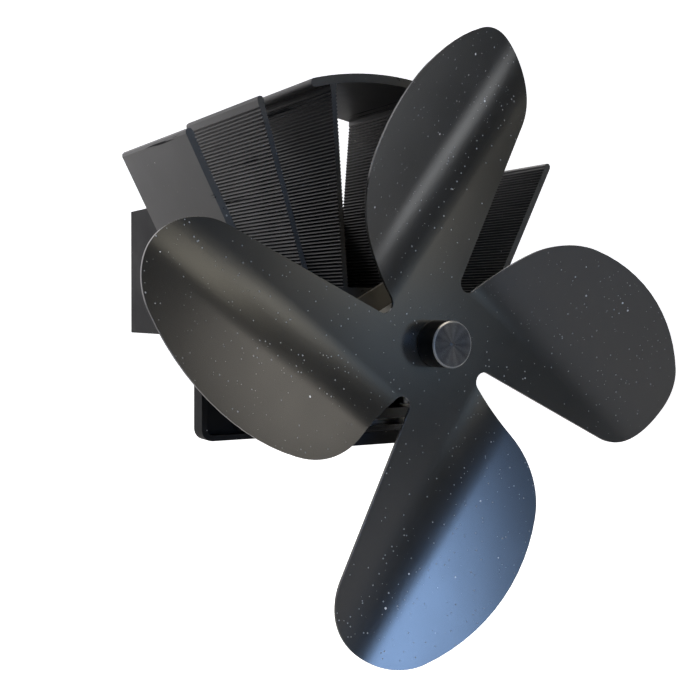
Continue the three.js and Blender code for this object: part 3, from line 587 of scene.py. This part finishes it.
# painted light on the knob: dark and light are painted fans of reflected light on the face, side is
# painted shade on the sides, bright is the chamfer, partly bare cut metal and partly a painted
# highlight
anodised = dict(
    metallic=0.6, roughness=0.3, pitch=0.00024, rim=0.00052, radius=halfWidthOf("hub_knob"),
    dark=(0.024, 0.025, 0.028), light=(0.052, 0.053, 0.056),
    side=(0.006, 0.006, 0.006), bright=(0.17, 0.17, 0.165))

finishes = {name: paintFinish(name, look) for name, look in paints.items()}
finishes.update({name: metalFinish(name, look) for name, look in metals.items()})
finishes.update({name: softFinish(name, look) for name, look in softs.items()})
finishes["black_anodised"] = turnedFinish("black_anodised", anodised)

slotOf = {part["node"]: part["material_slot"] for part in frame["record"]["subparts"]}
for node, solid in frame["nodes"].items():
    for slot in solid.material_slots:
        slot.material = finishes[slotOf[node]]
print("materials made:", len(finishes))


# Fan wheel: one blade drawn and rolled, then turned round the shaft three more times

wheel = {
    "blades": 4,
    "sheet": 0.001,  # thickness along the shaft
    "turn": 9.9,  # degrees from the drawing to the photograph
    "leadAngle": -35.5,
    "leadLength": 0.0703,
    "cornerRadius": 0.0174,
    "cornerEnd": 10.7,
    "backRadius": 0.060,
    "shoulderRadius": 0.0265,
    "trailAngle": 23.8,
    "notchRadius": 0.0028,
    "notchReach": 0.0204,
    "holeRadius": 0.0032,
    "foldLineAngle": -46.5,
    "foldRadius": 0.041,
    "foldAngle": 24.3,
    "foldSteps": 24,
    "arcStep": 4,  # degrees between the points of an arc
    "fewestSteps": 5,
    "smoothAngle": 30,
    "rimBevel": 0.00026,  # breaks the cut edge
    "bevelAngle": 50,
    "shrink": 0.9998,
}
wheelFront = boxOf("fan_wheel")[1].y - wheel["sheet"]


def unit(angle):
    return Vector((math.cos(math.radians(angle)), math.sin(math.radians(angle))))


def angleOf(vector):
    return math.degrees(math.atan2(vector.y, vector.x))


def inPlane(point):
    # a point of the blade's drawing, on the front of the flat sheet
    return Vector((shaftX + point.x, wheelFront, shaftZ + point.y))


def bladeArcs():
    # centre, radius, start and end angle of each arc, going round the blade from the hole
    leadAngle, trailAngle = wheel["leadAngle"], wheel["trailAngle"]
    lead, leadNormal = unit(leadAngle), unit(leadAngle + 90)
    trail, trailNormal = unit(trailAngle), unit(trailAngle + 90)
    notch, cornerRadius = wheel["notchRadius"], wheel["cornerRadius"]
    backRadius, shoulderRadius = wheel["backRadius"], wheel["shoulderRadius"]
    first = lead * wheel["notchReach"] - leadNormal * notch
    last = leadNormal * wheel["notchReach"] + lead * notch
    corner = lead * wheel["leadLength"] + leadNormal * cornerRadius
    back = corner - unit(wheel["cornerEnd"]) * (backRadius - cornerRadius)
    rise = last.dot(trailNormal) - notch - shoulderRadius - back.dot(trailNormal)
    reach = math.sqrt((backRadius - shoulderRadius) ** 2 - rise ** 2)
    shoulder = back + trailNormal * rise + trail * reach
    backEnd = angleOf(shoulder - back)
    arcs = [
        (Vector((0, 0)), wheel["holeRadius"], angleOf(last), angleOf(first)),
        (first, notch, angleOf(first) + 180, leadAngle + 90),
        (corner, cornerRadius, leadAngle - 90, wheel["cornerEnd"]),
        (back, backRadius, wheel["cornerEnd"], backEnd),
        (shoulder, shoulderRadius, backEnd, trailAngle + 90),
        (last, notch, trailAngle - 90, angleOf(last) - 180),
    ]
    notchBottom = last - last.normalized() * notch
    return arcs, notchBottom


def drawBlade(arcs):
    centre, radius, start = arcs[0][:3]
    here = centre + unit(start) * radius
    piece = singlePoint("wheelSheet", inPlane(here))
    for centre, radius, start, end in arcs:
        begin = centre + unit(start) * radius
        if (begin - here).length > tools["sketchWeld"]:
            lineBy(inPlane(begin) - inPlane(here))
        steps = max(wheel["fewestSteps"], round(abs(end - start) / wheel["arcStep"]))
        bpy.ops.mesh.spin(steps=steps, angle=math.radians(end - start), center=inPlane(centre),
                          axis=(0, 1, 0))
        here = centre + unit(end) * radius
    joinCorners(tools["sketchWeld"])
    selectAll()
    bpy.ops.mesh.edge_face_add()
    return piece


def foldHeight(distance):
    # how far the sheet stands forward past the fold line: a rolled bend, then flat
    turn = math.radians(wheel["foldAngle"])
    radius = wheel["foldRadius"]
    bend = radius * math.sin(turn)
    if distance <= 0:
        return 0.0
    if distance < bend:
        return radius - math.sqrt(radius ** 2 - distance ** 2)
    return radius * (1 - math.cos(turn)) + (distance - bend) * math.tan(turn)


def rollBlade(piece, notchBottom):
    # lines across the blade where it is rolled, then the roll itself
    normal = unit(wheel["foldLineAngle"] + 90)
    level = notchBottom.dot(normal)
    for step in range(wheel["foldSteps"] + 1):
        turn = math.radians(wheel["foldAngle"] * step / wheel["foldSteps"])
        cut = normal * (level + wheel["foldRadius"] * math.sin(turn))
        selectAll()
        bpy.ops.mesh.bisect(plane_co=inPlane(cut), plane_no=(normal.x, 0, normal.y))
    mesh = bmesh.from_edit_mesh(piece.data)
    for vertex in mesh.verts:
        flat = Vector((vertex.co.x - shaftX, vertex.co.z - shaftZ))
        vertex.co.y -= foldHeight(flat.dot(normal) - level)
    bmesh.update_edit_mesh(piece.data)


def repeatBlade(piece):
    # copies round the shaft, turned to where the photograph's blades stand
    hub = (shaftX, wheelFront, shaftZ)
    copies = wheel["blades"] - 1
    span = math.radians(360 / wheel["blades"] * copies)
    selectAll()
    bpy.ops.mesh.spin(steps=copies, dupli=True, angle=span, center=hub, axis=(0, -1, 0))
    joinCorners(tools["sketchWeld"])
    bpy.ops.object.mode_set(mode="OBJECT")
    # a hair smaller, so that the smoother arcs stay inside the CAD outline
    stand = Matrix.Translation(hub) @ Matrix.Rotation(math.radians(-wheel["turn"]), 4, "Y")
    stand = stand @ Matrix.Diagonal((wheel["shrink"], 1, wheel["shrink"], 1))
    piece.data.transform(stand @ Matrix.Translation(-Vector(hub)))


def addWheel():
    arcs, notchBottom = bladeArcs()
    piece = drawBlade(arcs)
    rollBlade(piece, notchBottom)
    repeatBlade(piece)
    editOnly(piece)
    selectAll()
    lineBy((0, wheel["sheet"], 0))
    faceOutwards()
    bpy.ops.object.mode_set(mode="OBJECT")
    smoothSides(piece, wheel["smoothAngle"])
    addBevel(piece, wheel["rimBevel"], wheel["bevelAngle"])
    applyAll(piece)
    settle(piece, "fan", "black_paint", finishes["black_paint"], "fan_wheel")


addWheel()
print("fan wheel rolled")


# Knob: turned, with a chamfer painted bright, partly bare cut metal and partly a painted highlight,
# and a small pip left by the lathe

knob = {
    "dish": 0.00015,
    "dishShares": (0.55, 0.3),  # of the radius, and of the dish
    "pipRadius": 0.0007,
    "pipHeight": 0.00025,
    "pipShares": ((0.0, 1.0), (0.6, 1.0), (1.0, 0.4), (1.3, 0.0)),  # of its radius and height
    "chamfer": 0.00045,
    "chamferShares": ((1.2, 0.0), (0.9, 0.06), (0.1, 0.86), (0.0, 1.2)),  # inwards and back
    "backChamfer": (0.0003, 0.0004),  # in from the side, and forward
    "gap": 0.0002,  # behind the knob, and round its spigot
    "turningSteps": 96,
    "smoothAngle": 24,
}


def addKnob():
    low, high = boxOf("hub_knob")
    radius, faceY = halfWidthOf("hub_knob"), low.y + knob["dish"]
    backY = wheelFront - knob["gap"]
    spigot = wheel["holeRadius"] - knob["gap"]
    dishRadius, dishDepth = knob["dishShares"]
    backIn, backForward = knob["backChamfer"]
    pip = [(knob["pipRadius"] * out, faceY - knob["pipHeight"] * up) for out, up in knob["pipShares"]]
    rim = [(radius - knob["chamfer"] * inward, low.y + knob["chamfer"] * back)
           for inward, back in knob["chamferShares"]]
    profile = [
        *pip,
        (radius * dishRadius, faceY - knob["dish"] * dishDepth),
        *rim,
        (radius, backY - backForward),
        (radius - backIn, backY),
        (spigot, backY),
        (spigot, high.y),
        (0.0, high.y),
    ]
    piece = turnedPiece("turnedKnob", profile, shaftX, shaftZ, knob["turningSteps"])
    smoothSides(piece, knob["smoothAngle"])
    applyAll(piece)
    settle(piece, "fan", "black_anodised", finishes["black_anodised"], "hub_knob")


addKnob()
print("knob turned")


# Screws: a rounded head with a hexagon socket, turned once and copied to each place

screw = {
    "headRadius": 0.0026,
    "headHeight": 0.0022,
    "headChamfer": 0.00015,
    "round": 0.0007,
    "roundAngles": (0, 22, 45, 68, 90),
    "shank": 0.0015,
    "tip": 0.0004,
    "tipShare": 0.75,  # of the shank's radius
    "socket": 0.0013,
    "socketDepth": 0.0013,
    "socketSides": 6,
    "turningSteps": 40,
    "smoothAngle": 30,
}


def addScrew(name, length):
    # head towards +Y, seated at y = 0
    top, edge, chamfer = screw["headHeight"], screw["headRadius"], screw["headChamfer"]
    shank, curve = screw["shank"], screw["round"]
    angles = [math.radians(angle) for angle in screw["roundAngles"]]
    crown = [(edge - curve * (1 - math.cos(angle)), top - curve * (1 - math.sin(angle)))
             for angle in angles]
    tip = [(0.0, -length), (shank * screw["tipShare"], -length), (shank, -length + screw["tip"])]
    profile = [*tip, (shank, 0.0), (edge - chamfer, 0.0), (edge, chamfer), *crown, (0.0, top)]
    piece = turnedPiece(name, profile, 0, 0, screw["turningSteps"])
    clearSelection()
    bpy.ops.mesh.primitive_cylinder_add(vertices=screw["socketSides"], radius=screw["socket"],
                                        depth=2 * screw["socketDepth"], location=(0, top, 0),
                                        rotation=(math.pi / 2, 0, 0))
    key = bpy.context.object
    socket = piece.modifiers.new("socket", "BOOLEAN")
    socket.object = key
    socket.operation = "DIFFERENCE"
    smoothSides(piece, screw["smoothAngle"])
    applyAll(piece)
    bpy.data.objects.remove(key)
    return piece


def placeScrews(pattern, heads, nodes):
    # heads says where they look, "up" or "front"
    for node in nodes:
        low, high = boxOf(node)
        seat = middleOf(node)
        if heads == "front":
            turn = math.pi
            seat.y = low.y + screw["headHeight"]
        else:
            turn = math.pi / 2
            seat.z = high.z - screw["headHeight"]
        piece = bpy.data.objects.new(node + "_turned", pattern.data.copy())
        bpy.context.collection.objects.link(piece)
        piece.data.transform(Matrix.Translation(seat) @ Matrix.Rotation(turn, 4, "X"))
        settle(piece, "base", "zinc_steel", finishes["zinc_steel"], node)
    bpy.data.objects.remove(pattern)


def lengthUnderHead(node, axis):
    low, high = boxOf(node)
    return high[axis] - low[axis] - screw["headHeight"]


sides = ("left", "right")
levels = ("lower", "upper")
clampNodes = [f"clamp_screw_{end}_{side}" for end in ("front", "rear") for side in sides]
bracketNodes = [f"bracket_screw_{side}" for side in sides]
saddleNodes = [f"saddle_screw_{level}_{side}" for level in levels for side in sides]
placeScrews(addScrew("clampPattern", lengthUnderHead(clampNodes[0], 2)), "up", clampNodes)
placeScrews(addScrew("bracketPattern", lengthUnderHead(bracketNodes[0], 1)), "front", bracketNodes)
placeScrews(addScrew("saddlePattern", lengthUnderHead(saddleNodes[0], 1)), "front", saddleNodes)
print("screws placed")


# Machined, cast and flat pieces: the CAD shapes with their edges broken

magnetNodes = [f"magnet_{level}_{side}" for level in levels for side in sides]
edges = {"smoothAngle": 32, "bevelAngle": 35}
broken = {  # width of the broken edge, body, and the finish where it isn't the slot's own
    "saddle": (0.0005, "base"),
    "hot_plate": (0.0004, "base"),
    "lower_frame": (0.0005, "base", "bar_black"),
    "motor_bracket": (0.00025, "base"),
    **{node: (0.0004, "base") for node in magnetNodes},
    "motor_can": (0.0003, "base"),
    "hub_collar": (0.0003, "fan"),
    "end_cap": (0.0003, "base"),
}


def breakEdges(node, width, body, finish=None):
    piece = mergedCopy(node, node + "_edged")
    smoothSides(piece, edges["smoothAngle"])
    addBevel(piece, width, edges["bevelAngle"])
    applyAll(piece)
    settle(piece, body, slotOf[node], finishes[finish or slotOf[node]], node)


for node, values in broken.items():
    breakEdges(node, *values)
print("edges broken:", len(broken))


# Floor and walls, one pale room round the fan

room = {
    "middle": (0.6, -0.9, 1.11),
    "size": (4.8, 4.8, 2.6),
    "roughness": 0.9,
    "grain": 40.0,
    "dark": (0.72, 0.72, 0.72),
    "light": (0.73, 0.73, 0.73),
    "glowToCamera": (1.0, 1.0, 1.0),
    "glowToFan": (0.0, 0.0, 0.0),
}


def addFloor():
    clearSelection()
    bpy.ops.mesh.primitive_cube_add(size=1, location=(0, 0, 0))
    piece = bpy.context.object
    piece.name = "paleFloor"
    piece.data.transform(Matrix.Translation(room["middle"]) @ Matrix.Diagonal((*room["size"], 1)))
    material, tree, shader, place = startMaterial("palePaper", 0.0, room["roughness"])
    coat = addGroup(tree, "coat", place, Grain=room["grain"])
    shade = mixColours(tree, coat.outputs["Handling"], room["dark"], room["light"])
    tree.links.new(shade, shader.inputs["Base Color"])
    # white to the camera, a dim room to the fan
    path = tree.nodes.new("ShaderNodeLightPath")
    glow = mixColours(tree, path.outputs["Is Camera Ray"], room["glowToFan"], room["glowToCamera"])
    tree.links.new(glow, shader.inputs["Emission Color"])
    shader.inputs["Emission Strength"].default_value = 1.0
    piece.data.materials.append(material)


addFloor()
print("floor laid")


# Light: soft boxes in front, each placed by where it shows in the blades, and three behind

softboxes = {  # azimuth, elevation, size, radiance, colour, lean and distance
    "coolKey": (-12, 8, (0.36, 0.34), 16.0, (0.36, 0.58, 1.0)),
    "creamLow": (31, 8, (0.12, 0.2), 4.2, (1.0, 0.95, 0.82), 10),
    "creamHigh": (36, 21, (0.09, 0.3), 5.4, (1.0, 0.93, 0.76), 42),
    "coolSpot": (33, -1, (0.1, 0.1), 2.6, (0.6, 0.8, 1.0)),
    "neutralStrip": (64, -5, (0.14, 0.38), 3.5, (0.96, 0.98, 1.0)),
    "warmSide": (61, 24, (0.14, 0.26), 3.4, (1.0, 0.93, 0.82)),
    "overhead": (20, 76, (0.5, 0.4), 8.0, (1.0, 0.9, 0.76), 0, 0.7),
    "leftHigh": (-115, 35, (0.6, 0.4), 1.2, (1.0, 0.98, 0.96)),
    "rearFill": (140, 42, (0.6, 0.5), 3.0, (1.0, 0.98, 0.96)),
    "backWall": (200, 17, (1.0, 1.0), 1.2, (1.0, 0.97, 0.98), 0, 1.1),
}
roomLight = {"colour": (0.95, 0.97, 1.0, 1.0), "strength": 0.2}


def addSoftbox(name, azimuth, elevation, size, radiance, colour, lean=0.0, distance=1.0):
    # azimuth runs from straight in front towards +X, as the wheel sees it; lean tips the top to +X
    turn, lift = math.radians(azimuth), math.radians(elevation)
    level = math.cos(lift)
    towards = Vector((math.sin(turn) * level, -math.cos(turn) * level, math.sin(lift)))
    data = bpy.data.lights.new(name, "AREA")
    data.shape = "RECTANGLE"
    data.size, data.size_y = size
    data.energy = radiance * math.pi * size[0] * size[1]
    data.color = colour
    lamp = bpy.data.objects.new(name, data)
    lamp.visible_camera = False
    bpy.context.collection.objects.link(lamp)
    aim = Vector((shaftX, boxOf("fan_wheel")[1].y, shaftZ))
    lamp.location = aim + towards * distance
    tilt = Quaternion((0, 0, 1), math.radians(-lean))
    lamp.rotation_euler = (towards.to_track_quat("Z", "Y") @ tilt).to_euler()


def addRoomLight():
    world = bpy.data.worlds.new("softRoom")
    world.use_nodes = True
    background = world.node_tree.nodes["Background"]
    background.inputs["Color"].default_value = roomLight["colour"]
    background.inputs["Strength"].default_value = roomLight["strength"]
    bpy.context.scene.world = world


for name, values in softboxes.items():
    addSoftbox(name, *values)
addRoomLight()
bpy.context.scene.view_settings.view_transform = "Standard"
print("lights set")

bpy.context.view_layer.update()
